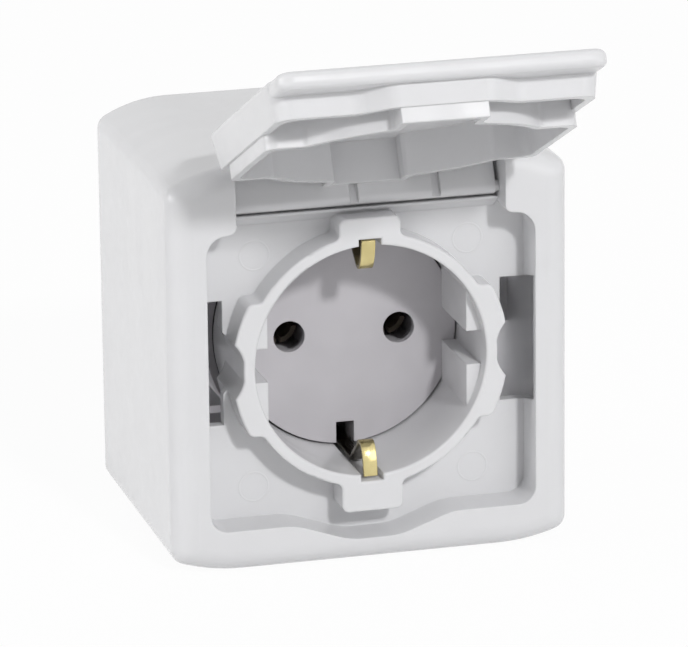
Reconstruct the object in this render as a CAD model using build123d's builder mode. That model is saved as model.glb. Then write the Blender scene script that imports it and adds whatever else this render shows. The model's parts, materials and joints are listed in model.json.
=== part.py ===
from build123d import *
from math import cos, hypot, radians, sin
import os

# Surface-mounted schuko socket with a hinged lid, modelled with the lid open.
# Millimetres. +Z is up, the front faces -Y and the wall is the plane Y = 0.
# X = Z = 0 is the middle of the plug well. Depths are counted from the front plane towards the wall.

# hood, outside
body_width = 68.0
body_height = 69.0
body_depth = 52.0
arc_start = 22.0  # half the straight part of the top and bottom
arc_drop = 3.5  # how far the soft upper corners fall before they meet the sides
arc_drop_low = 2.3  # the same at the lower corners
corner_radius = 2.5
front_radius = 4.0
wall = 2.0

# sunk tray in the hood's front
recess_depth = 7.0
recess_half = 27.9
recess_low = -27.0
recess_corner = 3.0
dip_low = -30.3  # finger dip in the tray's lower edge
dip_shoulder = 13.5
dip_foot = 4.2
dip_radius = 11.0
shoulder_height = 23.7
shoulder_corner = 3.5
slot_half = 22.8  # hinge slot between the shoulders
slot_fillet = 1.3
window_inner = 23.8
window_half = 10.7
window_front = 1.2  # the windows also open the tray's side walls, up to here
window_lean = 1.5
tray_wall = 1.5
pocket_front = 2.4
pocket_half_height = 18.0  # hollow beside the tray

# lobed collar and plug well
collar_front = 1.0
collar_radius = 21.7
collar_edge = 0.4
lobe_radius = 23.6
lobe_half = 11.4
lobe_corner = 1.5
lobe_root = 14.0  # the lobes' walls go on behind the tray's floor, down to here
scallop_centre = 28.65
scallop_radius = 7.2
tab_half = 5.2
tab_top = 24.5
tab_bottom = -26.0
tab_corner = 1.2
root_radius = 1.2
well_radius = 19.75
well_depth = 17.5
flat_half = 17.0
flat_ledge = 2.6
groove_half = 2.9
channel_half = 1.9
channel_reach = 20.8
tube_end = 22.0

# hinge and lid
open_angle = 115.0
hinge_depth = 4.6
hinge_height = 27.2
hinge_pin_radius = 1.0
hinge_pin_grip = 3.6  # length held in the hood's shoulder
hinge_pin_reach = 4.0  # length inside the lid's barrel
press_gap = 0.02
running_gap = 0.05
stop_gap = 0.4
barrel_back = 1.5
barrel_front = 1.3
barrel_foot = 1.2
barrel_edge = 1.15
neck_half = 22.1
lid_half = 27.0
lid_shoulder = 20.0
lid_corner = 3.0
lid_proud = 6.4
lid_sink = 0.1  # how far the closed lid's wall reaches into the tray
lid_draft = 1.0
lid_plate = 2.0
lid_wall = 1.4
lid_edge = 1.0
lid_low = -25.9
lid_bulge = 3.2  # room for the rim's lower tab
lid_bulge_shoulder = 13.0
lid_bulge_foot = 8.2
lid_bulge_radius = 4.0
lip_half = 26.6
lip_low = -31.2
lip_thickness = 2.9
lip_corner = 2.6
lip_edge = 1.1
rim_gap = 0.7
rim_wall = 1.2
rim_overlap = 1.6  # how far the closed rim reaches past the collar's front
rim_half = 25.6  # the rim passes the collar's lobes with straight sides
rim_half_height = 13.8
rim_corner = 2.0
barrel_groove_width = 1.4
barrel_groove_depth = 0.7
barrel_groove_places = (-2.0, 12.0)
sill_front = 4.4  # sill below the hinge barrel
sill_edge = 0.4
sill_drop = 2.9

# base
base_gap = 0.3
base_thickness = 2.5
rim_thickness = 1.5
rim_height = 8.0
wall_hole_radius = 2.3
wall_hole_half = 16.0
entry_radius = 7.0
entry_inset = 14.0
back_pocket_depth = 0.8
back_pocket_inner = 10.0
back_pocket_margin = 3.2
back_pocket_corner = 2.5
back_rib = 8.0

# hood screws and the brackets they pull on
hood_screw_inset = 4.8
bracket_depth = 30.0
bracket_thickness = 3.0
bracket_reach = 3.0
bracket_half = 4.0
pillar_radius = 3.2
screw_radius = 1.5
screw_play = 0.05
screw_clearance = 0.25
screw_head_radius = 2.7
screw_head = 2.0
screw_slot_width = 0.8
screw_slot_depth = 0.9
screw_bite = 8.0

# contact carrier
seal_thickness = 0.8
plate_gap = 0.35
carrier_gap = 1.0
plate_wall = 1.4
carrier_depth = 15.7
carrier_front_wall = 1.2
shelf_half = 14.6
shelf_gap = 0.9
shelf_roof = 0.9
ear_x = 20.0
ear_z = 21.5
ear_half_width = 24.2
ear_margin = 4.2
ear_thickness = 4.0
pin_spacing = 19.0
pin_hole_radius = 2.7
earth_slot_half = 1.55
earth_slot_inner = 15.7
terminal_access_radius = 3.2
rear_plate_thickness = 2.0
rear_plate_half_width = 19.4
rear_plate_half_height = 15.5
rear_screw_x = 16.6
rear_screw_z = 9.0
rear_screw_radius = 1.0
rear_screw_head_radius = 1.9
rear_screw_head = 1.4
rear_screw_bite = 7.0

# contacts, terminals and earth bow
strip_thickness = 0.8
strip_width = 4.2
strip_setback = 1.5  # from the strip to the carrier's rear face
socket_radius = 2.35
socket_wall = 0.85
socket_slit = 0.8
socket_setback = 3.2  # from the carrier's front to the contact tube
flange_radius = 3.75
pocket_gap = 0.25
cage_width = 7.4
cage_height = 7.0
cage_length = 9.4
cage_front = 3.2
cage_rear = 1.2
cage_window_half = 2.4
clamp_thickness = 1.0
clamp_play = 0.2
wire_space = 2.0
terminal_screw_length = 9.6
bow_thickness = 0.7
bow_width = 2.4
bow_leg = 19.7
bow_foot_depth = 11.5
bow_crest = 14.3
bow_crest_depth = 5.2
bow_end = 20.2
bow_end_depth = 2.4
bow_bend = 1.3

# cable grommet
grommet_gap = 0.15
grommet_flange = 9.2
grommet_flange_thickness = 1.6
grommet_bore = 4.5

well_bottom = collar_front + well_depth
carrier_front = tube_end + seal_thickness
carrier_rear = carrier_front + carrier_depth
strip_rear = carrier_rear - strip_setback
strip_front = strip_rear - strip_thickness
cage_back = strip_rear + cage_rear
cage_nose = cage_back - cage_length
clamp_rear = strip_front - wire_space
clamp_nose = clamp_rear - clamp_thickness
base_front = body_depth - base_thickness
bracket_rear = bracket_depth + bracket_thickness
pin_x = pin_spacing / 2
pocket_half = cage_width / 2 + pocket_gap
entry_height = entry_inset - body_height / 2
hood_screw_x = body_width / 2 - wall - hood_screw_inset
bracket_inner = hood_screw_x - bracket_reach
carrier_radius = hood_screw_x - pillar_radius - carrier_gap
shelf_top = body_height / 2 - wall - shelf_gap
cage_middle = shelf_top - shelf_roof - cage_height / 2
earth_slot_outer = channel_reach
sill_top = hinge_height - barrel_front - stop_gap
collar_y = collar_front - body_depth
touch = 0.01  # for picking edges by their place
terminal_places = ((-pin_x, cage_middle), (0, cage_middle), (pin_x, cage_middle))


def behind_front(depth):
    """Plane across the socket at a depth behind the front, with its normal towards the front."""
    return Plane.XZ.offset(body_depth - depth)


def side_point(depth, height):
    """Point of a side view, on the YZ plane."""
    return (depth - body_depth, height)


def shell(inset):
    """Outline of the body, moved inwards by inset."""
    half_width = body_width / 2 - inset
    half_height = body_height / 2 - inset
    side_top = half_height - arc_drop
    side_low = arc_drop_low - half_height
    with BuildSketch() as outline:
        with BuildLine():
            for s in (1, -1):
                Line((-arc_start, s * half_height), (arc_start, s * half_height))
                Line((s * half_width, side_top), (s * half_width, side_low))
                TangentArc((s * arc_start, half_height), (s * half_width, side_top), tangent=(s, 0))
                TangentArc((s * arc_start, -half_height), (s * half_width, side_low), tangent=(s, 0))
        make_face()
        fillet(outline.vertices().filter_by(lambda v: abs(v.X) > half_width - touch), corner_radius)
    return outline.sketch_local


def mirrored(corners):
    """Closed outline from its right half, a list of (x, z, corner radius) from the top down."""
    both = corners + [(-x, z, r) for x, z, r in reversed(corners)]
    with BuildSketch() as outline:
        with BuildLine():
            FilletPolyline([(x, z) for x, z, r in both], radius=[r for x, z, r in both], close=True)
        make_face()
    return outline.sketch_local


def rim_outline(inset):
    """Outline of the lid's inner rim, moved inwards by inset: it surrounds the collar."""
    ring = collar_radius + rim_gap + rim_wall - inset
    tab = tab_half + rim_gap + rim_wall - inset
    with BuildSketch() as outline:
        RectangleRounded(2 * (rim_half - inset), 2 * (rim_half_height - inset), rim_corner)
        Circle(ring)
        with Locations((0, (tab_top + tab_bottom) / 2)):
            Rectangle(2 * tab, tab_top - tab_bottom + 2 * (rim_gap + rim_wall - inset))
        fillet(outline.vertices().filter_by(lambda v: abs(hypot(v.X, v.Y) - ring) < touch), root_radius)
    return outline.sketch_local


def lid_outline(inset):
    """Outline of the lid, moved inwards by inset: a narrow neck at the hinge and a bulge at the free end."""
    neck = neck_half - max(inset - lid_draft, 0)
    low = lid_low + inset
    dip = low - lid_bulge
    return mirrored([
        (neck, hinge_height + barrel_back - max(inset - lid_draft, 0), 0),
        (neck, lid_shoulder - inset, slot_fillet),
        (lid_half - inset, lid_shoulder - inset, lid_corner),
        (lid_half - inset, low, lid_corner),
        (lid_bulge_shoulder, low, lid_bulge_radius),
        (lid_bulge_foot, dip, lid_bulge_radius),
    ])


# collar: a ring with two scalloped lobes and two tabs
with BuildSketch() as collar:
    Circle(lobe_radius)
    Rectangle(3 * collar_radius, 2 * lobe_half, mode=Mode.INTERSECT)
    fillet(collar.vertices(), lobe_corner)
    with Locations((scallop_centre, 0), (-scallop_centre, 0)):
        Circle(scallop_radius, mode=Mode.SUBTRACT)
    Circle(collar_radius)
    with Locations((0, (tab_top + tab_bottom) / 2)):
        Rectangle(2 * tab_half, tab_top - tab_bottom)
    fillet(collar.vertices().filter_by(lambda v: abs(v.Y) > collar_radius), tab_corner)
    fillet(collar.vertices().filter_by(lambda v: abs(hypot(v.X, v.Y) - collar_radius) < touch), root_radius)

recess_outline = mirrored([
    (slot_half, body_height / 2 + front_radius, 0),
    (slot_half, shoulder_height, slot_fillet),
    (recess_half, shoulder_height, shoulder_corner),
    (recess_half, recess_low, recess_corner),
    (dip_shoulder, recess_low, dip_radius),
    (dip_foot, dip_low, dip_radius),
])

# back wall of the hinge slot: it leans with the open lid and stops it
lean = radians(open_angle)
stop_reach = barrel_back + stop_gap
stop_foot = (hinge_depth + stop_reach * sin(lean), hinge_height + stop_reach * cos(lean))
stop_rise = body_height / 2 + front_radius - stop_foot[1]
stop_head = (stop_foot[0] - stop_rise * cos(lean) / sin(lean), stop_foot[1] + stop_rise)

# HOOD
with BuildPart() as hood:
    with BuildSketch(behind_front(body_depth)):
        add(shell(0))
    extrude(amount=body_depth)
    fillet(hood.faces().sort_by(Axis.Y)[0].edges(), front_radius)
    # hollow behind the tray, open at the wall
    with BuildSketch(behind_front(body_depth)):
        add(shell(wall))
    extrude(amount=body_depth - recess_depth - wall, mode=Mode.SUBTRACT)
    with BuildSketch(behind_front(body_depth)):
        for s in (1, -1):
            with Locations((s * (recess_half + tray_wall + body_width / 2 - wall) / 2, 0)):
                Rectangle(body_width / 2 - wall - recess_half - tray_wall, 2 * pocket_half_height)
    extrude(amount=body_depth - pocket_front, mode=Mode.SUBTRACT)
    # backing of the hinge slot
    with BuildSketch(behind_front(stop_head[0] + wall)):
        with Locations((0, (hinge_height + body_height / 2 - wall) / 2)):
            Rectangle(2 * (slot_half + wall), body_height / 2 - hinge_height)
    extrude(amount=stop_head[0] - recess_depth)
    # tray and hinge slot
    with BuildSketch(behind_front(recess_depth)):
        add(recess_outline)
    extrude(amount=recess_depth, mode=Mode.SUBTRACT)
    with BuildSketch(Plane.YZ):
        with BuildLine():
            Polyline(
                side_point(*stop_foot),
                side_point(*stop_head),
                side_point(stop_foot[0], stop_head[1]),
                close=True,
            )
        make_face()
    extrude(amount=slot_half, both=True, mode=Mode.SUBTRACT)
    # sill below the hinge barrel, sloping down to the tray's floor
    with BuildSketch(Plane.YZ):
        with BuildLine():
            Polyline(
                side_point(recess_depth + wall / 2, sill_top),
                side_point(sill_front, sill_top),
                side_point(sill_front, sill_top - sill_edge),
                side_point(recess_depth + wall / 2, sill_top - sill_drop),
                close=True,
            )
        make_face()
    extrude(amount=slot_half, both=True)
    # tube of the plug well and the lobed collar round it
    with BuildSketch(behind_front(tube_end)):
        Circle(collar_radius)
    extrude(amount=tube_end - collar_front)
    with BuildSketch(behind_front(recess_depth + wall / 2)):
        add(collar.sketch_local)
    extrude(amount=recess_depth + wall / 2 - collar_front)
    with BuildSketch(behind_front(lobe_root)):
        add(collar.sketch_local)
        Rectangle(3 * collar_radius, 2 * lobe_half, mode=Mode.INTERSECT)
    extrude(amount=lobe_root - recess_depth)
    with BuildSketch(behind_front(tube_end)):
        Circle(well_radius)
    extrude(amount=tube_end, mode=Mode.SUBTRACT)
    # flats inside the well, with a guide groove across each
    with BuildSketch(behind_front(well_bottom)):
        Circle((well_radius + collar_radius) / 2)
        Rectangle(2 * flat_half, 2 * collar_radius, mode=Mode.SUBTRACT)
        Rectangle(2 * collar_radius, 2 * groove_half, mode=Mode.SUBTRACT)
    extrude(amount=well_depth - flat_ledge)
    with BuildSketch(behind_front(tube_end)):
        with Locations((0, (channel_reach + flat_half) / 2), (0, -(channel_reach + flat_half) / 2)):
            Rectangle(2 * channel_half, channel_reach - flat_half)
    extrude(amount=tube_end, mode=Mode.SUBTRACT)
    # windows in the tray's floor and side walls, for a screwdriver
    with BuildSketch(behind_front(recess_depth + wall)):
        with Locations((scallop_centre, 0), (-scallop_centre, 0)):
            Circle(scallop_radius)
        with Locations(((window_inner + recess_half) / 2, 0), (-(window_inner + recess_half) / 2, 0)):
            Rectangle(recess_half - window_inner, 2 * window_half)
        Rectangle(2 * recess_half, 2 * window_half, mode=Mode.INTERSECT)
        add(collar.sketch_local, mode=Mode.SUBTRACT)
    extrude(amount=wall, mode=Mode.SUBTRACT)
    for s in (1, -1):
        with BuildSketch(Plane.YZ.offset(s * recess_half)):
            with BuildLine():
                Polyline(
                    side_point(recess_depth + wall, window_half),
                    side_point(recess_depth, window_half),
                    side_point(window_front, window_half + window_lean),
                    side_point(window_front, window_lean - window_half),
                    side_point(recess_depth, -window_half),
                    side_point(recess_depth + wall, -window_half),
                    close=True,
                )
            make_face()
        extrude(amount=s * tray_wall, mode=Mode.SUBTRACT)
    # brackets below the windows, pulled to the base by the hood screws
    with BuildSketch(behind_front(bracket_rear)):
        for s in (1, -1):
            with Locations((s * (bracket_inner + body_width / 2 - wall / 2) / 2, 0)):
                Rectangle(body_width / 2 - wall / 2 - bracket_inner, 2 * bracket_half)
        with Locations((hood_screw_x, 0), (-hood_screw_x, 0)):
            Circle(screw_radius + screw_clearance, mode=Mode.SUBTRACT)
    extrude(amount=bracket_thickness)
    # holes for the hinge pins
    for s in (1, -1):
        with BuildSketch(Plane.YZ.offset(s * (slot_half + hinge_pin_grip))):
            with Locations(side_point(hinge_depth, hinge_height)):
                Circle(hinge_pin_radius + press_gap)
        extrude(amount=-s * hinge_pin_grip * 1.5, mode=Mode.SUBTRACT)
    rims = hood.faces().filter_by(Axis.Y).filter_by(lambda f: abs(f.center().Y - collar_y) < touch)
    fillet(rims.edges(), collar_edge)

# LID, made closed and then turned open about the hinge; its grip lip is rounded before it is joined on
with BuildPart() as lip:
    with BuildSketch(behind_front(lip_thickness - lid_proud)):
        add(mirrored([(lip_half, lid_low + lid_corner + lip_corner, 0), (lip_half, lip_low, lip_corner)]))
    extrude(amount=lip_thickness)
    fillet(lip.faces().filter_by(Axis.Y).edges(), lip_edge)

with BuildPart() as closed_lid:
    with BuildSketch(behind_front(-lid_proud)):
        add(lid_outline(0))
    with BuildSketch(behind_front(lid_sink)):
        add(lid_outline(lid_draft))
    loft(ruled=True)
    fillet(closed_lid.faces().sort_by(Axis.Y)[0].edges(), lid_edge)
    add(lip.part)
    # hollow
    with BuildSketch(behind_front(lid_sink)):
        add(lid_outline(lid_draft + lid_wall))
    extrude(amount=lid_proud + lid_sink - lid_plate, mode=Mode.SUBTRACT)
    # inner rim, which goes round the collar
    with BuildSketch(behind_front(collar_front + rim_overlap)):
        add(rim_outline(0))
        add(rim_outline(rim_wall), mode=Mode.SUBTRACT)
    extrude(amount=collar_front + rim_overlap + lid_proud - lid_plate)
    # hinge barrel
    with BuildSketch(behind_front(hinge_depth + barrel_foot)):
        with Locations((0, hinge_height + (barrel_back - barrel_front) / 2)):
            Rectangle(2 * neck_half, barrel_back + barrel_front)
    extrude(amount=hinge_depth + barrel_foot + lid_proud - lid_plate)
    foot = closed_lid.faces().filter_by(Axis.Y).sort_by(Axis.Y)[-1]
    fillet(foot.edges().filter_by(Axis.X), barrel_edge)
    groove_height = hinge_height - barrel_front + barrel_groove_depth / 2
    with BuildSketch(behind_front(hinge_depth + barrel_foot)):
        with Locations(*[(x, groove_height) for x in barrel_groove_places]):
            Rectangle(barrel_groove_width, barrel_groove_depth)
    extrude(amount=hinge_depth + barrel_foot, mode=Mode.SUBTRACT)
    for s in (1, -1):
        with BuildSketch(Plane.YZ.offset(s * neck_half)):
            with Locations(side_point(hinge_depth, hinge_height)):
                Circle(hinge_pin_radius + running_gap)
        extrude(amount=-s * (hinge_pin_reach + 2 * hinge_pin_radius), mode=Mode.SUBTRACT)

hinge_axis = Axis((0, *side_point(hinge_depth, hinge_height)), (1, 0, 0))
lid = closed_lid.part.rotate(hinge_axis, -open_angle)

with BuildPart() as hinge_pins:
    for s in (1, -1):
        with BuildSketch(Plane.YZ.offset(s * (slot_half + hinge_pin_grip))):
            with Locations(side_point(hinge_depth, hinge_height)):
                Circle(hinge_pin_radius)
        extrude(amount=-s * (slot_half + hinge_pin_grip - neck_half + hinge_pin_reach))

# BASE
with BuildPart() as base:
    with BuildSketch(behind_front(body_depth)):
        add(shell(wall + base_gap))
    extrude(amount=base_thickness)
    with BuildSketch(behind_front(base_front)):
        add(shell(wall + base_gap))
        add(shell(wall + base_gap + rim_thickness), mode=Mode.SUBTRACT)
    extrude(amount=rim_height)
    # pillars for the carrier and for the hood's brackets
    with BuildSketch(behind_front(base_front)):
        with Locations(*[(s * ear_x, t * ear_z) for s in (1, -1) for t in (1, -1)]):
            Circle(pillar_radius)
    extrude(amount=base_front - carrier_rear)
    with BuildSketch(behind_front(base_front)):
        with Locations((hood_screw_x, 0), (-hood_screw_x, 0)):
            Circle(pillar_radius)
    extrude(amount=base_front - bracket_rear)
    with BuildSketch(behind_front(bracket_rear + screw_bite + 1)):
        with Locations((hood_screw_x, 0), (-hood_screw_x, 0)):
            Circle(screw_radius + screw_play)
    extrude(amount=screw_bite + 1, mode=Mode.SUBTRACT)
    with BuildSketch(behind_front(carrier_rear + screw_bite + 1)):
        with Locations((ear_x, -ear_z), (-ear_x, ear_z)):
            Circle(screw_radius + screw_play)
    extrude(amount=screw_bite + 1, mode=Mode.SUBTRACT)
    with BuildSketch(behind_front(body_depth)):
        with Locations((wall_hole_half, 0), (-wall_hole_half, 0)):
            Circle(wall_hole_radius)
        with Locations((0, entry_height)):
            Circle(entry_radius)
    extrude(amount=base_thickness, mode=Mode.SUBTRACT)
    # shallow pockets in the back, with ribs between them
    pocket_outer = body_width / 2 - wall - base_gap - back_pocket_margin
    pocket_top = body_height / 2 - wall - base_gap - back_pocket_margin - arc_drop
    pocket_places = [(s * (pocket_outer + back_pocket_inner) / 2, t * (pocket_top + back_rib) / 2)
                     for s in (1, -1) for t in (1, -1)]
    with BuildSketch(behind_front(body_depth)):
        with Locations(*pocket_places):
            RectangleRounded(pocket_outer - back_pocket_inner, pocket_top - back_rib, back_pocket_corner)
    extrude(amount=back_pocket_depth, mode=Mode.SUBTRACT)

with BuildPart() as cable_grommet:
    with BuildSketch(behind_front(body_depth)):
        with Locations((0, entry_height)):
            Circle(entry_radius - grommet_gap)
    extrude(amount=base_thickness)
    with BuildSketch(behind_front(base_front)):
        with Locations((0, entry_height)):
            Circle(grommet_flange)
    extrude(amount=grommet_flange_thickness)
    with BuildSketch(behind_front(body_depth)):
        with Locations((0, entry_height)):
            Circle(grommet_bore)
    extrude(amount=base_thickness + grommet_flange_thickness, mode=Mode.SUBTRACT)

# CONTACT CARRIER
with BuildPart() as contact_carrier:
    with BuildSketch(behind_front(carrier_front)):
        Circle(well_radius - plate_gap)
    extrude(amount=carrier_front - well_bottom)
    with BuildSketch(behind_front(carrier_rear)):
        Circle(carrier_radius)
        with Locations((0, shelf_top / 2)):
            Rectangle(2 * shelf_half, shelf_top)
    extrude(amount=carrier_depth)
    # ears on the base's pillars
    with BuildSketch(behind_front(carrier_rear)):
        with Locations((0, ear_z), (0, -ear_z)):
            RectangleRounded(2 * ear_half_width, 2 * ear_margin, ear_margin / 2)
    extrude(amount=ear_thickness)
    # pockets for the contacts and cages, open at the rear
    with BuildSketch(behind_front(carrier_rear)):
        for x in (-pin_x, pin_x):
            with Locations((x, (cage_middle + cage_height / 2 + pocket_gap - pocket_half) / 2)):
                Rectangle(2 * pocket_half, cage_middle + cage_height / 2 + pocket_gap + pocket_half)
        with Locations((0, cage_middle)):
            Rectangle(2 * pocket_half, cage_height + 2 * pocket_gap)
        with Locations((0, (cage_middle - earth_slot_outer) / 2)):
            Rectangle(strip_width + 2 * pocket_gap, cage_middle + earth_slot_outer)
    extrude(amount=carrier_depth - carrier_front_wall, mode=Mode.SUBTRACT)
    with BuildSketch(behind_front(carrier_rear)):
        with Locations((-pin_x, 0), (pin_x, 0)):
            Circle(flange_radius + pocket_gap)
    extrude(amount=carrier_rear - well_bottom - plate_wall, mode=Mode.SUBTRACT)
    with BuildSketch(behind_front(carrier_rear)):
        with Locations((-pin_x, 0), (pin_x, 0)):
            Circle(pin_hole_radius)
        with Locations(*[(0, s * (earth_slot_inner + earth_slot_outer) / 2) for s in (1, -1)]):
            Rectangle(2 * earth_slot_half, earth_slot_outer - earth_slot_inner)
        with Locations((ear_x, -ear_z), (-ear_x, ear_z)):
            Circle(screw_radius + screw_clearance)
        with Locations(*terminal_places):
            Circle(terminal_access_radius)
    extrude(amount=carrier_rear - well_bottom, mode=Mode.SUBTRACT)
    # wire openings in the top, one above each cage
    with BuildSketch(Plane.XY.offset(shelf_top)):
        for x, z in terminal_places:
            with Locations((x, (strip_front + clamp_rear) / 2 - body_depth)):
                Rectangle(2 * cage_window_half, wire_space)
    extrude(amount=-(shelf_top - cage_middle), mode=Mode.SUBTRACT)
    with BuildSketch(behind_front(carrier_rear)):
        with Locations(*[(s * rear_screw_x, t * rear_screw_z) for s, t in ((1, -1), (-1, 1))]):
            Circle(rear_screw_radius + screw_play)
    extrude(amount=rear_screw_bite + 1, mode=Mode.SUBTRACT)

with BuildPart() as rear_plate:
    with BuildSketch(behind_front(carrier_rear + rear_plate_thickness)):
        RectangleRounded(2 * rear_plate_half_width, 2 * rear_plate_half_height, ear_margin)
        with Locations(*[(s * rear_screw_x, t * rear_screw_z) for s, t in ((1, -1), (-1, 1))]):
            Circle(rear_screw_radius + screw_clearance, mode=Mode.SUBTRACT)
    extrude(amount=rear_plate_thickness)

with BuildPart() as well_seal:
    with BuildSketch(behind_front(carrier_front)):
        Circle(collar_radius)
        Circle(well_radius, mode=Mode.SUBTRACT)
        with Locations((0, (channel_reach + flat_half) / 2), (0, -(channel_reach + flat_half) / 2)):
            Rectangle(2 * channel_half, channel_reach - flat_half, mode=Mode.SUBTRACT)
    extrude(amount=seal_thickness)


def pin_contact(x):
    """Slit tube that grips a plug's pin, on a strip that runs up into its terminal cage."""
    with BuildPart() as contact:
        with BuildSketch(behind_front(strip_rear)):
            with Locations((x, 0)):
                Circle(socket_radius + socket_wall)
        extrude(amount=strip_rear - carrier_front - socket_setback)
        with BuildSketch(behind_front(strip_front)):
            with Locations((x, 0)):
                Rectangle(socket_slit, 3 * flange_radius)
                Rectangle(3 * flange_radius, socket_slit)
        extrude(amount=carrier_depth, mode=Mode.SUBTRACT)
        with BuildSketch(behind_front(strip_rear)):
            with Locations((x, 0)):
                Circle(flange_radius)
            with Locations((x, (cage_middle + cage_height / 2) / 2)):
                Rectangle(strip_width, cage_middle + cage_height / 2)
        extrude(amount=strip_thickness)
        with BuildSketch(behind_front(strip_rear)):
            with Locations((x, 0)):
                Circle(socket_radius)
        extrude(amount=carrier_depth, mode=Mode.SUBTRACT)
    return contact.part


def cage(x):
    """Terminal cage: a block with a window for the strip, the wire and the clamp plate."""
    with BuildPart() as block:
        with BuildSketch(behind_front(cage_back)):
            with Locations((x, cage_middle)):
                Rectangle(cage_width, cage_height)
        extrude(amount=cage_length)
        with BuildSketch(Plane.XY.offset(cage_middle - cage_height)):
            with Locations((x, (cage_nose + cage_front + strip_rear) / 2 - body_depth)):
                Rectangle(2 * cage_window_half, strip_rear - cage_nose - cage_front)
        extrude(amount=2 * cage_height, mode=Mode.SUBTRACT)
        with BuildSketch(behind_front(cage_nose + cage_front)):
            with Locations((x, cage_middle)):
                Circle(screw_radius + screw_play)
        extrude(amount=cage_front, mode=Mode.SUBTRACT)
    return block.part


def clamp(x):
    """Clamp plate under the terminal screw's tip."""
    with BuildPart() as plate:
        with BuildSketch(behind_front(clamp_rear)):
            with Locations((x, cage_middle)):
                Rectangle(2 * (cage_window_half - clamp_play), cage_height - 2 * clamp_play)
        extrude(amount=clamp_thickness)
    return plate.part


def screws(places, tip, head_front, radius, head_radius, head_height, facing=1):
    """Slotted screws at the given places, from the head's outer face to the tip."""
    with BuildPart() as group:
        with BuildSketch(behind_front(tip)):
            with Locations(*places):
                Circle(radius)
        extrude(amount=tip - head_front)
        with BuildSketch(behind_front(head_front)):
            with Locations(*places):
                Circle(head_radius)
        extrude(amount=-facing * head_height)
        with BuildSketch(behind_front(head_front)):
            with Locations(*places):
                Rectangle(3 * head_radius, screw_slot_width)
        extrude(amount=-facing * screw_slot_depth, mode=Mode.SUBTRACT)
    return group.part


# the bow's back bar runs up to the earth cage, and a leg goes forward at each end of the well
with BuildPart() as earth_bow:
    with BuildSketch(behind_front(strip_rear)):
        with Locations((0, (cage_middle + cage_height / 2 - bow_leg) / 2)):
            Rectangle(strip_width, cage_middle + cage_height / 2 + bow_leg)
    extrude(amount=strip_thickness)
    for s in (1, -1):
        with BuildSketch(Plane.YZ):
            with BuildLine() as leg:
                FilletPolyline(
                    side_point(strip_front + strip_thickness / 2, s * bow_leg),
                    side_point(bow_foot_depth, s * bow_leg),
                    side_point(bow_crest_depth, s * bow_crest),
                    side_point(bow_end_depth, s * bow_end),
                    radius=bow_bend,
                )
            trace(leg.line, line_width=bow_thickness)
        extrude(amount=bow_width / 2, both=True)

hood_screw_places = ((hood_screw_x, 0), (-hood_screw_x, 0))
carrier_screw_places = ((ear_x, -ear_z), (-ear_x, ear_z))
rear_screw_places = ((rear_screw_x, -rear_screw_z), (-rear_screw_x, rear_screw_z))
ear_front = carrier_rear - ear_thickness
rear_head = carrier_rear + rear_plate_thickness + rear_screw_head
rear_tip = carrier_rear - rear_screw_bite

nodes = {
    "hood": hood.part,
    "lid": lid,
    "hinge_pins": hinge_pins.part,
    "base": base.part,
    "cable_grommet": cable_grommet.part,
    "contact_carrier": contact_carrier.part,
    "carrier_rear_plate": rear_plate.part,
    "well_seal": well_seal.part,
    "live_contact": pin_contact(-pin_x),
    "neutral_contact": pin_contact(pin_x),
    "earth_bow": earth_bow.part,
    "live_cage": cage(-pin_x),
    "neutral_cage": cage(pin_x),
    "earth_cage": cage(0),
    "live_clamp": clamp(-pin_x),
    "neutral_clamp": clamp(pin_x),
    "earth_clamp": clamp(0),
    "terminal_screws": screws(terminal_places, clamp_nose, clamp_nose - terminal_screw_length,
                              screw_radius, screw_head_radius, screw_head),
    "carrier_screws": screws(carrier_screw_places, carrier_rear + screw_bite, ear_front - screw_head,
                             screw_radius, screw_head_radius, screw_head),
    "hood_screws": screws(hood_screw_places, bracket_rear + screw_bite, bracket_depth - screw_head,
                          screw_radius, screw_head_radius, screw_head),
    "rear_plate_screws": screws(rear_screw_places, rear_tip, rear_head,
                                rear_screw_radius, rear_screw_head_radius, rear_screw_head, -1),
}

os.makedirs("parts", exist_ok=True)
for name, solid in nodes.items():
    solid.label = name
    export_step(solid, f"parts/{name}.step")
    print(f"{name}: {solid.volume / 1000:.2f} cm3, {len(solid.solids())} solid(s)")
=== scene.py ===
# %% [markdown]
# A wall socket with its lid open, dressed for its portrait. The imported CAD model is loaded first and
# stays where it is, because every finish and every added detail is placed from it. Its box is kept.

# %% Load the frame
import json
import math
import bmesh
import bpy
from mathutils import Matrix, Vector


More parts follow.
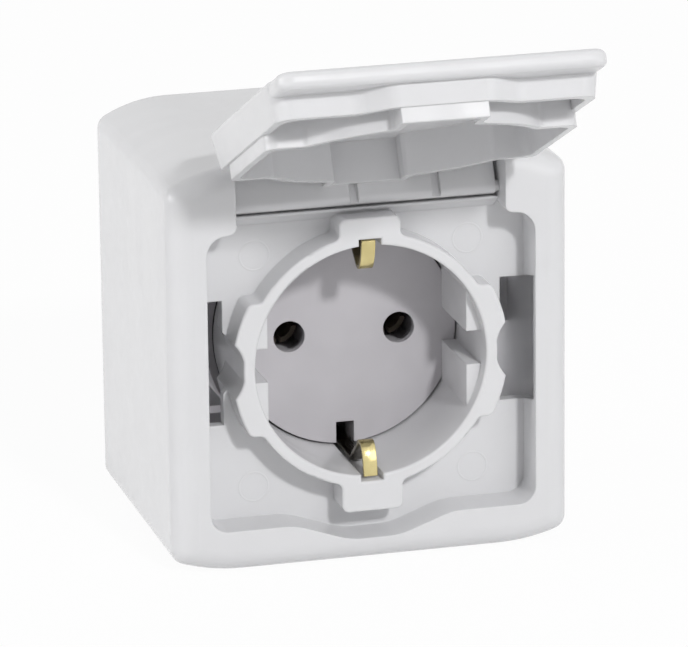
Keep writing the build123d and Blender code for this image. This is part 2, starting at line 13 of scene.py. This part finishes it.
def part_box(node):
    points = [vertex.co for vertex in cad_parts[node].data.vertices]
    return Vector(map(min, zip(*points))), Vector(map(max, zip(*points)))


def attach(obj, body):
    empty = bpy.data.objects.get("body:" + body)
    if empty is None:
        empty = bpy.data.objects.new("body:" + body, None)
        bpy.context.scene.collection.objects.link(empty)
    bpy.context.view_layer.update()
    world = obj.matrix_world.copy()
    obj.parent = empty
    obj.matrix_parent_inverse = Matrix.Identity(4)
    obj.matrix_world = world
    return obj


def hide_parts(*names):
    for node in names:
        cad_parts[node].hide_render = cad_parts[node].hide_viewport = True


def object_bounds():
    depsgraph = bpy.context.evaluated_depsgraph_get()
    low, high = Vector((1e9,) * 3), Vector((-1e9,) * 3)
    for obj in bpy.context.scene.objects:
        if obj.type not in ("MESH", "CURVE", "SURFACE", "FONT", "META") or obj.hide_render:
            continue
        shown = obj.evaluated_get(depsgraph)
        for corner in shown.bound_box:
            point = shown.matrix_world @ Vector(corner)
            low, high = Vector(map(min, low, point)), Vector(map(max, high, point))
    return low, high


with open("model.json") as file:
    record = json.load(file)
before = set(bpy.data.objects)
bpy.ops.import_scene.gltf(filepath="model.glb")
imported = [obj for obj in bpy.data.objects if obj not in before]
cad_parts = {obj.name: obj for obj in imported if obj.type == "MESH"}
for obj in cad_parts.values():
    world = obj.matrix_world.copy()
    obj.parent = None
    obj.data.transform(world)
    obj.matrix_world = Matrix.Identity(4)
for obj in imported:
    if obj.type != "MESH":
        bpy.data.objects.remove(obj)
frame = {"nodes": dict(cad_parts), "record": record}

mm = 0.001
nodes = frame["nodes"]
cad_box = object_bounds()
print("pieces in the frame:", len(nodes))

# %% [markdown]
# The portrait was taken with a long lens from a little to the left and above. A short lens close by
# could frame the socket too, but it would splay the box's edges, and a long one keeps them almost
# parallel. So the camera stands well back from the middle of the socket's front, and is shifted by a
# few millimetres to the left and up, which puts the open lid into the frame.

# %% Camera
view_turn = math.radians(15.0)
view_drop = math.radians(16.6)
view_roll = math.radians(-0.65)
view_distance = 938 * mm
shift_left = 4.83 * mm
shift_up = 6.47 * mm
focal_pixels = 5700.0
picture_width = 688
front_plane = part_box("hood")[0].y
front_middle = Vector((0.0, front_plane, 0.0))

level_reach = math.cos(view_drop)
ahead = Vector((math.sin(view_turn) * level_reach, math.cos(view_turn) * level_reach, -math.sin(view_drop)))
level_right = Vector((math.cos(view_turn), -math.sin(view_turn), 0.0))
level_up = level_right.cross(ahead)
right = level_right * math.cos(view_roll) + level_up * math.sin(view_roll)
up = level_up * math.cos(view_roll) - level_right * math.sin(view_roll)

lens = bpy.data.cameras.new("portrait_lens")
lens.sensor_fit = "HORIZONTAL"
lens.sensor_width = 36.0
lens.lens = focal_pixels / picture_width * lens.sensor_width
lens.clip_start = 50 * mm
camera = bpy.data.objects.new("portrait_camera", lens)
camera.matrix_world = Matrix((right, up, -ahead)).transposed().to_4x4()
camera.location = front_middle - right * shift_left + up * shift_up - ahead * view_distance
bpy.context.scene.collection.objects.link(camera)
bpy.context.scene.camera = camera
print("lens %.0f mm, %.2f m in front of the socket" % (lens.lens, view_distance))

# %% [markdown]
# The background is plain white. A world as bright as that would also light the pale plastic, until it
# lost its own grey. The Light Path node keeps the two apart: rays from the camera, reflections and rays
# through glass look at the background, and all the others carry light.
#
# So the world has two backgrounds. The one that is looked at is pure white, and the one that lights the
# socket is a lower, even glow from all round. The Standard view transform shows both without a film's
# curve.

# %% World
white = (1.0, 1.0, 1.0, 1.0)
world_light = 0.355


def background_rays(tree):
    """1 for the rays that should see a plain white background, 0 for those that carry light."""
    path = tree.nodes.new("ShaderNodeLightPath")
    looking = path.outputs["Is Camera Ray"]
    for kind in ("Is Glossy Ray", "Is Transmission Ray"):
        either = tree.nodes.new("ShaderNodeMath")
        either.operation = "MAXIMUM"
        tree.links.new(looking, either.inputs[0])
        tree.links.new(path.outputs[kind], either.inputs[1])
        looking = either.outputs[0]
    return looking


scene = bpy.context.scene
scene.view_settings.view_transform = "Standard"
world = bpy.data.worlds.new("white_studio")
scene.world = world
world.use_nodes = True
sky = world.node_tree
sky.nodes.clear()
glow = sky.nodes.new("ShaderNodeBackground")
glow.inputs["Color"].default_value = white
glow.inputs["Strength"].default_value = world_light
seen = sky.nodes.new("ShaderNodeBackground")
seen.inputs["Color"].default_value = white
seen.inputs["Strength"].default_value = 1.0
sky_mix = sky.nodes.new("ShaderNodeMixShader")
sky_out = sky.nodes.new("ShaderNodeOutputWorld")
sky.links.new(background_rays(sky), sky_mix.inputs["Fac"])
sky.links.new(glow.outputs[0], sky_mix.inputs[1])
sky.links.new(seen.outputs[0], sky_mix.inputs[2])
sky.links.new(sky_mix.outputs[0], sky_out.inputs["Surface"])
print("world light", world_light)

# %% [markdown]
# A large sheet of paper under the socket catches its soft shadow and throws light up at its underside.
# One flat face is enough for it. The sheet lies two hundredths of a millimetre under the hood's lowest
# edge, so that no two faces share a plane and flicker.

# %% Floor
floor_reach = 3.0
floor_gap = 0.02 * mm
floor_height = cad_box[0][2] - floor_gap

sheet = bmesh.new()
bmesh.ops.create_grid(sheet, x_segments=1, y_segments=1, size=floor_reach)
bmesh.ops.translate(sheet, verts=sheet.verts, vec=(0.0, 0.0, floor_height))
floor_mesh = bpy.data.meshes.new("floor")
sheet.to_mesh(floor_mesh)
sheet.free()
floor = bpy.data.objects.new("floor", floor_mesh)
scene.collection.objects.link(floor)
print("floor at %.2f mm" % (floor_height / mm))

# %% [markdown]
# For the rays that carry light, the sheet is plain matt paper. For the rays that look at it, most of it
# is replaced by pure white, so that it melts into the background and only a faint shadow is left.
# Brighter lamps would whiten the paper as well, but they would bleach the socket.

# %% White paper
paper_tone = (0.90, 0.90, 0.90, 1.0)
white_share = 0.95

paper = bpy.data.materials.new("white_paper")
paper.use_nodes = True
tree = paper.node_tree
tree.nodes.clear()
matt = tree.nodes.new("ShaderNodeBsdfDiffuse")
matt.inputs["Color"].default_value = paper_tone
bright = tree.nodes.new("ShaderNodeEmission")
bright.inputs["Color"].default_value = white
share = tree.nodes.new("ShaderNodeMath")
share.operation = "MULTIPLY"
share.inputs[1].default_value = white_share
paper_mix = tree.nodes.new("ShaderNodeMixShader")
paper_out = tree.nodes.new("ShaderNodeOutputMaterial")
tree.links.new(background_rays(tree), share.inputs[0])
tree.links.new(share.outputs[0], paper_mix.inputs["Fac"])
tree.links.new(matt.outputs[0], paper_mix.inputs[1])
tree.links.new(bright.outputs[0], paper_mix.inputs[2])
tree.links.new(paper_mix.outputs[0], paper_out.inputs["Surface"])
floor_mesh.materials.append(paper)
print("made", paper.name)

# %% [markdown]
# The lights follow the shadows. The lid's shadow on the tray falls to the left and down, so the main
# light stands to the right of the socket and above it, and only just reaches past the open lid. A weak
# panel further to the right opens up the shadows in the well. A broad panel on the left and another
# overhead bring the sides up to the level of the front.
#
# The rim of the open lid mirrors the main light straight into the lens, and would turn white. So
# reflections don't see that lamp, and a weaker one in its place gives them their highlights.

# %% Lights
main_side = (0.18, -1.0, 0.65)
main_distance = 3.0
main_size = 0.24


def panel(name, towards, distance, size, watts):
    """Square lamp that looks at the middle of the socket's front from a direction."""
    lamp = bpy.data.lights.new(name, "AREA")
    lamp.shape = "SQUARE"
    lamp.size = size
    lamp.energy = watts
    holder = bpy.data.objects.new(name, lamp)
    direction = Vector(towards).normalized()
    holder.location = front_middle + direction * distance
    holder.rotation_euler = direction.to_track_quat("Z", "Y").to_euler()
    scene.collection.objects.link(holder)
    print(name, watts, "W")
    return holder


main_light = panel("main_light", main_side, main_distance, main_size, watts=42.0)
main_light.visible_glossy = False
panel("right_panel", towards=(0.6, -1.0, 0.5), distance=1.6, size=0.8, watts=2.8)
panel("left_panel", towards=(-1.0, 0.1, 0.2), distance=1.6, size=1.0, watts=13.6)
panel("top_panel", towards=(0.2, -0.1, 1.0), distance=1.6, size=1.0, watts=2.6)
highlight = panel("highlight", main_side, main_distance, main_size, watts=13.0)
highlight.visible_diffuse = False

# %% [markdown]
# The hollow behind the two windows beside the collar is dark grey and not black, because some stray
# light finds its way in. Rays could be left to find it too, but that would take very many of them. A
# weak strip lamp behind each window stands in for it, and neither the camera nor a reflection sees the
# lamp itself.

# %% Light inside the hood
strip_lamp_across = 27.5 * mm
strip_lamp_depth = 46 * mm
strip_lamp_width = 8 * mm
strip_lamp_height = 40 * mm
strip_lamp_watts = 0.0055

for name, side in (("left_glow", -1), ("right_glow", 1)):
    lamp = bpy.data.lights.new(name, "AREA")
    lamp.shape = "RECTANGLE"
    lamp.size = strip_lamp_width
    lamp.size_y = strip_lamp_height
    lamp.energy = strip_lamp_watts
    holder = bpy.data.objects.new(name, lamp)
    holder.location = (side * strip_lamp_across, front_plane + strip_lamp_depth, 0.0)
    holder.rotation_euler = (math.radians(-90), 0.0, 0.0)
    holder.visible_camera = False
    holder.visible_glossy = False
    scene.collection.objects.link(holder)
    print(name, strip_lamp_watts, "W")

# %% [markdown]
# The hood, lid and base are moulded in one light grey thermoplastic. A moulded surface is never one
# flat colour, so noise drifts it between two tones, by less than two hundredths, because more would
# look dirty. A painted picture could do that too, but noise on Object coordinates, which are in metres,
# keeps its scale on every piece and needs no unwrapping.
#
# Three helpers start a finish, make the noise and spread it over two tones. The noise seldom leaves the
# range from 0.3 to 0.7, so that range is what they spread. Every later finish uses them.

# %% Shell plastic: tone
noise_low = 0.3
noise_high = 0.7
shell_dark = (0.684, 0.684, 0.697)
shell_light = (0.700, 0.700, 0.712)
drift_per_metre = 60.0


def finish(name):
    """New material with a Principled shader; returns the material, its tree and the shader."""
    material = bpy.data.materials.new(name)
    material.use_nodes = True
    tree = material.node_tree
    return material, tree, tree.nodes["Principled BSDF"]


def speckle(tree, per_metre, detail=2.0, squeeze=(1.0, 1.0, 1.0)):
    """Noise on Object coordinates; per_metre counts its features, and squeeze packs them by axis."""
    place = tree.nodes.new("ShaderNodeTexCoord")
    mapping = tree.nodes.new("ShaderNodeMapping")
    mapping.inputs["Scale"].default_value = squeeze
    noise = tree.nodes.new("ShaderNodeTexNoise")
    noise.inputs["Scale"].default_value = per_metre
    noise.inputs["Detail"].default_value = detail
    tree.links.new(place.outputs["Object"], mapping.inputs["Vector"])
    tree.links.new(mapping.outputs["Vector"], noise.inputs["Vector"])
    return noise.outputs["Fac"]


def tones(tree, factor, dark, light, socket):
    """Sends a colour between two tones to a socket."""
    ramp = tree.nodes.new("ShaderNodeValToRGB")
    first, last = ramp.color_ramp.elements
    first.position = noise_low
    first.color = (*dark, 1.0)
    last.position = noise_high
    last.color = (*light, 1.0)
    tree.links.new(factor, ramp.inputs["Fac"])
    tree.links.new(ramp.outputs["Color"], socket)


shell_plastic, tree, shader = finish("light_grey_moulding")
tones(tree, speckle(tree, drift_per_metre), shell_dark, shell_light, shader.inputs["Base Color"])
print("made", shell_plastic.name)

# %% [markdown]
# The plastic is satin rather than glassy. Its gloss changes a little with the polish of the mould, so a
# finer noise drives the roughness. Light also sinks a little way into the plastic before it comes back,
# which softens the edges of shadows. Translucency would need the true thickness of every wall, and a
# small share of scattering below the surface, with a reach of about a millimetre, is enough.

# %% Shell plastic: gloss
polish_per_metre = 220.0
shell_smooth = 0.19
shell_rough = 0.27
shell_shine = 0.35
scatter_share = 0.15
scatter_tint = (1.0, 1.0, 0.95)
scatter_reach = 1.2 * mm


def between(tree, factor, low, high, socket):
    """Sends a value between low and high to a socket."""
    spread = tree.nodes.new("ShaderNodeMapRange")
    spread.inputs["From Min"].default_value = noise_low
    spread.inputs["From Max"].default_value = noise_high
    spread.inputs["To Min"].default_value = low
    spread.inputs["To Max"].default_value = high
    tree.links.new(factor, spread.inputs["Value"])
    tree.links.new(spread.outputs["Result"], socket)


between(tree, speckle(tree, polish_per_metre, detail=3.0),
        shell_smooth, shell_rough, shader.inputs["Roughness"])
shader.inputs["Specular IOR Level"].default_value = shell_shine
shader.inputs["Subsurface Weight"].default_value = scatter_share
shader.inputs["Subsurface Radius"].default_value = scatter_tint
shader.inputs["Subsurface Scale"].default_value = scatter_reach
print("roughness of the shell: %.2f to %.2f" % (shell_smooth, shell_rough))

# %% [markdown]
# No moulded edge is quite sharp. Rounding each of them in the mesh would take very many faces, so the
# Bevel node rounds the look of it, by a fraction of a millimetre. A fine grain in the normal breaks up
# the highlights. A moulded wall also sinks a little as it cools, and broad, shallow waves under the
# grain pull its highlights into soft spots.

# %% Shell plastic: grain
waves_per_metre = 80.0


def grain(tree, shader, height, depth, strength, edge, sink=0.0):
    """Fine relief from a height, over edges rounded by edge and faces that sink by up to sink."""
    rounded = tree.nodes.new("ShaderNodeBevel")
    rounded.samples = 6
    rounded.inputs["Radius"].default_value = edge
    normal = rounded.outputs["Normal"]
    if sink:
        waves = tree.nodes.new("ShaderNodeBump")
        waves.inputs["Distance"].default_value = sink
        tree.links.new(speckle(tree, waves_per_metre, detail=1.0), waves.inputs["Height"])
        tree.links.new(normal, waves.inputs["Normal"])
        normal = waves.outputs["Normal"]
    bump = tree.nodes.new("ShaderNodeBump")
    bump.inputs["Strength"].default_value = strength
    bump.inputs["Distance"].default_value = depth
    tree.links.new(normal, bump.inputs["Normal"])
    tree.links.new(height, bump.inputs["Height"])
    tree.links.new(bump.outputs["Normal"], shader.inputs["Normal"])


grain(tree, shader, speckle(tree, per_metre=2600.0, detail=3.0),
      depth=0.02 * mm, strength=0.25, edge=0.35 * mm, sink=0.4 * mm)
print("nodes in the shell's finish:", len(tree.nodes))

# %% [markdown]
# The bottom of the well belongs to the carrier that holds the live parts. It is a harder, heat-proof
# moulding compound, a little darker than the shell and slightly lilac. It is duller too, so its
# roughness is higher and its grain deeper. It lets no light in, so it needs no scattering below the
# surface.

# %% Carrier plastic
carrier_plastic, tree, shader = finish("lilac_grey_moulding")
tones(tree, speckle(tree, per_metre=90.0),
      dark=(0.488, 0.474, 0.496), light=(0.535, 0.520, 0.543), socket=shader.inputs["Base Color"])
between(tree, speckle(tree, per_metre=400.0, detail=3.0),
        low=0.45, high=0.60, socket=shader.inputs["Roughness"])
shader.inputs["Specular IOR Level"].default_value = 0.4
grain(tree, shader, speckle(tree, per_metre=3200.0, detail=3.0),
      depth=0.03 * mm, strength=0.4, edge=0.20 * mm)
print("made", carrier_plastic.name)

# %% [markdown]
# The contacts are stamped from rolled brass strip, so the grain runs along the strip and the gloss is
# broken into fine lines. Noise that is squeezed along one axis draws those lines. Further back in the
# well the strip lies in shade, and that shade is painted into its colour: the tone is mixed towards a
# dark brown with the depth behind the front.

# %% Rolled brass
# painted shade: between these two depths behind the front, the brass tone turns to a dark brown
shade_start_depth = 3.6 * mm
shade_full_depth = 7.0 * mm
painted_shade_tone = (0.11, 0.09, 0.055, 1.0)

brass, tree, shader = finish("rolled_brass")
where = tree.nodes.new("ShaderNodeTexCoord")
split = tree.nodes.new("ShaderNodeSeparateXYZ")
shade_ramp = tree.nodes.new("ShaderNodeMapRange")
shade_ramp.inputs["From Min"].default_value = front_plane + shade_start_depth
shade_ramp.inputs["From Max"].default_value = front_plane + shade_full_depth
# painted shade: mixes the brass tone towards dark brown deeper in the well
shade_mix = tree.nodes.new("ShaderNodeMix")
shade_mix.data_type = "RGBA"
shade_mix.inputs["B"].default_value = painted_shade_tone
tree.links.new(where.outputs["Object"], split.inputs["Vector"])
tree.links.new(split.outputs["Y"], shade_ramp.inputs["Value"])
tree.links.new(shade_ramp.outputs["Result"], shade_mix.inputs["Factor"])
tones(tree, speckle(tree, per_metre=300.0),
      dark=(0.59, 0.50, 0.24), light=(0.71, 0.61, 0.31), socket=shade_mix.inputs["A"])
tree.links.new(shade_mix.outputs["Result"], shader.inputs["Base Color"])
shader.inputs["Metallic"].default_value = 1.0
between(tree, speckle(tree, per_metre=900.0, detail=3.0, squeeze=(4.0, 0.3, 0.3)),
        low=0.16, high=0.28, socket=shader.inputs["Roughness"])
grain(tree, shader, speckle(tree, per_metre=1500.0, squeeze=(6.0, 0.3, 0.3)),
      depth=0.01 * mm, strength=0.3, edge=0.15 * mm)
print("made", brass.name)

# %% [markdown]
# The two contacts deep behind the pin holes lie in shade, and that shade is painted into their colour:
# the same metal gets dark tones all over, and a high roughness.

# %% Brass with painted shade
shaded_brass, tree, shader = finish("painted_shade_brass")
# painted shade: dark brass tones for the contacts deep behind the pin holes
tones(tree, speckle(tree, per_metre=400.0, detail=3.0),
      dark=(0.17, 0.145, 0.115), light=(0.25, 0.21, 0.17), socket=shader.inputs["Base Color"])
shader.inputs["Metallic"].default_value = 1.0
between(tree, speckle(tree, per_metre=900.0, detail=3.0),
        low=0.70, high=0.85, socket=shader.inputs["Roughness"])
grain(tree, shader, speckle(tree, per_metre=1500.0),
      depth=0.01 * mm, strength=0.3, edge=0.10 * mm)
print("made", shaded_brass.name)

# %% [markdown]
# Screws, clamps and hinge pins are steel with a bright coat of zinc. The coat is laid down in a bath,
# so it has no direction: a fine cloudy noise in the tone and in the roughness is enough.

# %% Zinc-plated steel
zinc, tree, shader = finish("zinc_plated_steel")
tones(tree, speckle(tree, per_metre=500.0),
      dark=(0.52, 0.52, 0.53), light=(0.66, 0.66, 0.66), socket=shader.inputs["Base Color"])
shader.inputs["Metallic"].default_value = 1.0
between(tree, speckle(tree, per_metre=1200.0, detail=3.0),
        low=0.28, high=0.45, socket=shader.inputs["Roughness"])
grain(tree, shader, speckle(tree, per_metre=2500.0),
      depth=0.01 * mm, strength=0.3, edge=0.15 * mm)
print("made", zinc.name)

# %% [markdown]
# The grommet in the back and the seal round the well are soft black rubber. It is never quite black: a
# tone of three hundredths with a broad, dull highlight keeps its folds readable.

# %% Black rubber
rubber, tree, shader = finish("black_rubber")
tones(tree, speckle(tree, per_metre=150.0),
      dark=(0.022, 0.022, 0.022), light=(0.038, 0.038, 0.037), socket=shader.inputs["Base Color"])
between(tree, speckle(tree, per_metre=500.0, detail=3.0),
        low=0.62, high=0.80, socket=shader.inputs["Roughness"])
grain(tree, shader, speckle(tree, per_metre=1800.0, detail=3.0),
      depth=0.03 * mm, strength=0.5, edge=0.20 * mm)
print("made", rubber.name)

# %% [markdown]
# The record of the frame names a material slot for every piece. A short table from slot to finish is
# enough to dress them all, and a new piece in the frame would get its finish without a new line here.
# Only the two contacts behind the pin holes differ: they lie deep in shade, so they get the brass with
# painted shade.

# %% Finishes onto the pieces
finishes = {
    "shell_plastic": shell_plastic,
    "carrier_plastic": carrier_plastic,
    "contact_brass": brass,
    "steel": zinc,
    "seal_rubber": rubber,
}
for entry in frame["record"]["subparts"]:
    piece = nodes[entry["node"]]
    piece.material_slots[0].material = finishes[entry["material_slot"]]
    # painted shade: the contacts behind the pin holes get the dark brass
    if entry["node"] in ("live_contact", "neutral_contact"):
        piece.material_slots[0].material = shaded_brass
    print(entry["node"], "in", piece.material_slots[0].material.name)

# %% [markdown]
# The earth clips are one brass strip, folded into an arch at the top and at the bottom of the well, so
# that a plug's side contacts slide over them. Each arch starts as a chain of edges that follows the
# fold, extruded across the strip. Bevelling the cross edges bends it round, which leaves a crest that
# catches the light in a narrow band, as a flat fold would not. The fold is written as depths behind the
# front and heights off the well's axis, in millimetres.

# %% Arches of the earth clips
strip_width = 2.4 * mm
arch_start = 20.0
leg_height = 19.35
crest_height = 13.8
crest_bend = 2.3
knee_height = 17.0
knee_bend = 1.0
tip_height = 20.3
fold = (
    (arch_start, leg_height),
    (11.2, leg_height),
    (4.7, crest_height),
    (2.7, knee_height),
    (2.1, tip_height),
)
same_height = 0.01 * mm


def in_middle(depth, height):
    """Point in the socket's middle plane, at a depth in millimetres behind the front."""
    return Vector((0.0, front_plane + depth * mm, height * mm))


def bend(sheet, height, reach):
    """Rounds the cross edges at a height; reach is how far the bend runs along the strip."""
    cross = [e for e in sheet.edges if len(e.link_faces) == 2
             and all(abs(abs(v.co.z) - height * mm) < same_height for v in e.verts)]
    bmesh.ops.bevel(sheet, geom=cross, offset=reach * mm, offset_type="OFFSET", segments=8, profile=0.5,
                    affect="EDGES", material=-1)


clips = bmesh.new()
for side in (1, -1):
    chain = [clips.verts.new(in_middle(depth, side * height)) for depth, height in fold]
    edges = [clips.edges.new(pair) for pair in zip(chain, chain[1:])]
    across = bmesh.ops.extrude_edge_only(clips, edges=edges)
    moved = [v for v in across["geom"] if isinstance(v, bmesh.types.BMVert)]
    bmesh.ops.translate(clips, verts=moved, vec=(strip_width, 0.0, 0.0))
bmesh.ops.translate(clips, verts=clips.verts, vec=(-strip_width / 2, 0.0, 0.0))
bend(clips, crest_height, crest_bend)
bend(clips, knee_height, knee_bend)
for face in clips.faces:
    face.smooth = True
print("faces of the bent strips:", len(clips.faces))

# %% [markdown]
# The sheet gets its thickness towards the inside of the fold, and its long edges are broken by a tenth
# of a millimetre, as a stamped edge is after tumbling. A Solidify and a Bevel modifier could do both,
# but the strip's rear is joined on next, and has to keep its own edges and thickness.

# %% Thickness of the earth clips
strip_thick = 0.7 * mm
edge_break = 0.1 * mm
edge_angle = math.radians(60)

bmesh.ops.recalc_face_normals(clips, faces=clips.faces)
bmesh.ops.solidify(clips, geom=clips.faces, thickness=strip_thick)
sharp = [e for e in clips.edges if len(e.link_faces) == 2 and e.calc_face_angle() > edge_angle]
bmesh.ops.bevel(clips, geom=sharp, offset=edge_break, offset_type="OFFSET", segments=2, profile=0.5,
                affect="EDGES", material=-1)
print("edges broken:", len(sharp))

# %% [markdown]
# What lies behind the well's bottom is hardly seen, so there a copy of the CAD node goes on, cut off
# where the arches begin. The copy is merged first, because a CAD node's mesh is loose triangles, and
# the cut is closed again. The joined piece then stands for the whole node.

# %% Earth strip
weld_reach = 0.001 * mm

rear = bmesh.new()
rear.from_mesh(nodes["earth_bow"].data)
bmesh.ops.remove_doubles(rear, verts=rear.verts, dist=weld_reach)
bmesh.ops.bisect_plane(rear, geom=rear.verts[:] + rear.edges[:] + rear.faces[:],
                       plane_co=in_middle(arch_start, 0.0), plane_no=(0.0, 1.0, 0.0), clear_inner=True)
bmesh.ops.holes_fill(rear, edges=[e for e in rear.edges if e.is_boundary])
rear_mesh = bpy.data.meshes.new("earth_strip_rear")
rear.to_mesh(rear_mesh)
rear.free()
clips.from_mesh(rear_mesh)
bpy.data.meshes.remove(rear_mesh)

clip_mesh = bpy.data.meshes.new("earth_clips")
clips.to_mesh(clip_mesh)
clips.free()
earth_clips = bpy.data.objects.new("earth_clips", clip_mesh)
scene.collection.objects.link(earth_clips)
clip_mesh.materials.append(brass)
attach(earth_clips, "socket")
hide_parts("earth_bow")
print("earth clips:", len(clip_mesh.polygons), "faces")

# %% [markdown]
# When the hood leaves its mould, round pins push it out, and each leaves a faint ring on the floor of
# the tray. Such a ring is thinner than the reach of the shell's Bevel node, which would find its hidden
# underside and turn it dark. So it gets the shell's tones and gloss without that node.

# %% Plastic of the ejector marks
mark_plastic, tree, shader = finish("light_grey_relief")
tones(tree, speckle(tree, drift_per_metre), shell_dark, shell_light, shader.inputs["Base Color"])
between(tree, speckle(tree, polish_per_metre, detail=3.0),
        shell_smooth, shell_rough, shader.inputs["Roughness"])
shader.inputs["Specular IOR Level"].default_value = shell_shine
print("made", mark_plastic.name)

# %% [markdown]
# Four marks show round the collar. A bump in the shell's finish could draw them, but a mesh keeps them
# in the shape itself. Each is a low ridge: three edges make its cross-section, and one full spin
# about the pin's axis makes the ring. Its foot lies a hundredth of a millimetre inside the floor, so no
# gap can show under it.

# %% Ejector marks
tray_floor = 7.0
mark_radius = 2.5
mark_half = 0.25
mark_rise = 0.05
mark_sink = 0.01
mark_steps = 72
profile = (
    (mark_radius - mark_half, -mark_sink),
    (mark_radius, mark_rise),
    (mark_radius + mark_half, -mark_sink),
)
mark_places = {
    "mark_upper_left": (-18.2, 18.0),
    "mark_upper_right": (18.2, 18.0),
    "mark_lower_left": (-18.9, -21.8),
    "mark_lower_right": (18.9, -21.8),
}
centre = (0.0, 0.0, 0.0)
to_front = Matrix.Rotation(math.radians(90), 3, "X")

for name, (across, height) in mark_places.items():
    ring = bmesh.new()
    ridge = [ring.verts.new((reach * mm, 0.0, rise * mm)) for reach, rise in profile]
    loop = [ring.edges.new(pair) for pair in zip(ridge, ridge[1:] + ridge[:1])]
    bmesh.ops.spin(ring, geom=ridge + loop, axis=(0.0, 0.0, 1.0), cent=centre, angle=math.tau,
                   steps=mark_steps, use_merge=True)
    bmesh.ops.recalc_face_normals(ring, faces=ring.faces)
    bmesh.ops.rotate(ring, verts=ring.verts, cent=centre, matrix=to_front)
    place = in_middle(tray_floor, height) + Vector((across * mm, 0.0, 0.0))
    bmesh.ops.translate(ring, verts=ring.verts, vec=place)
    mesh = bpy.data.meshes.new(name)
    ring.to_mesh(mesh)
    ring.free()
    mark = bpy.data.objects.new(name, mesh)
    scene.collection.objects.link(mark)
    mesh.materials.append(mark_plastic)
    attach(mark, "socket")
    print(name, len(mesh.polygons), "faces")
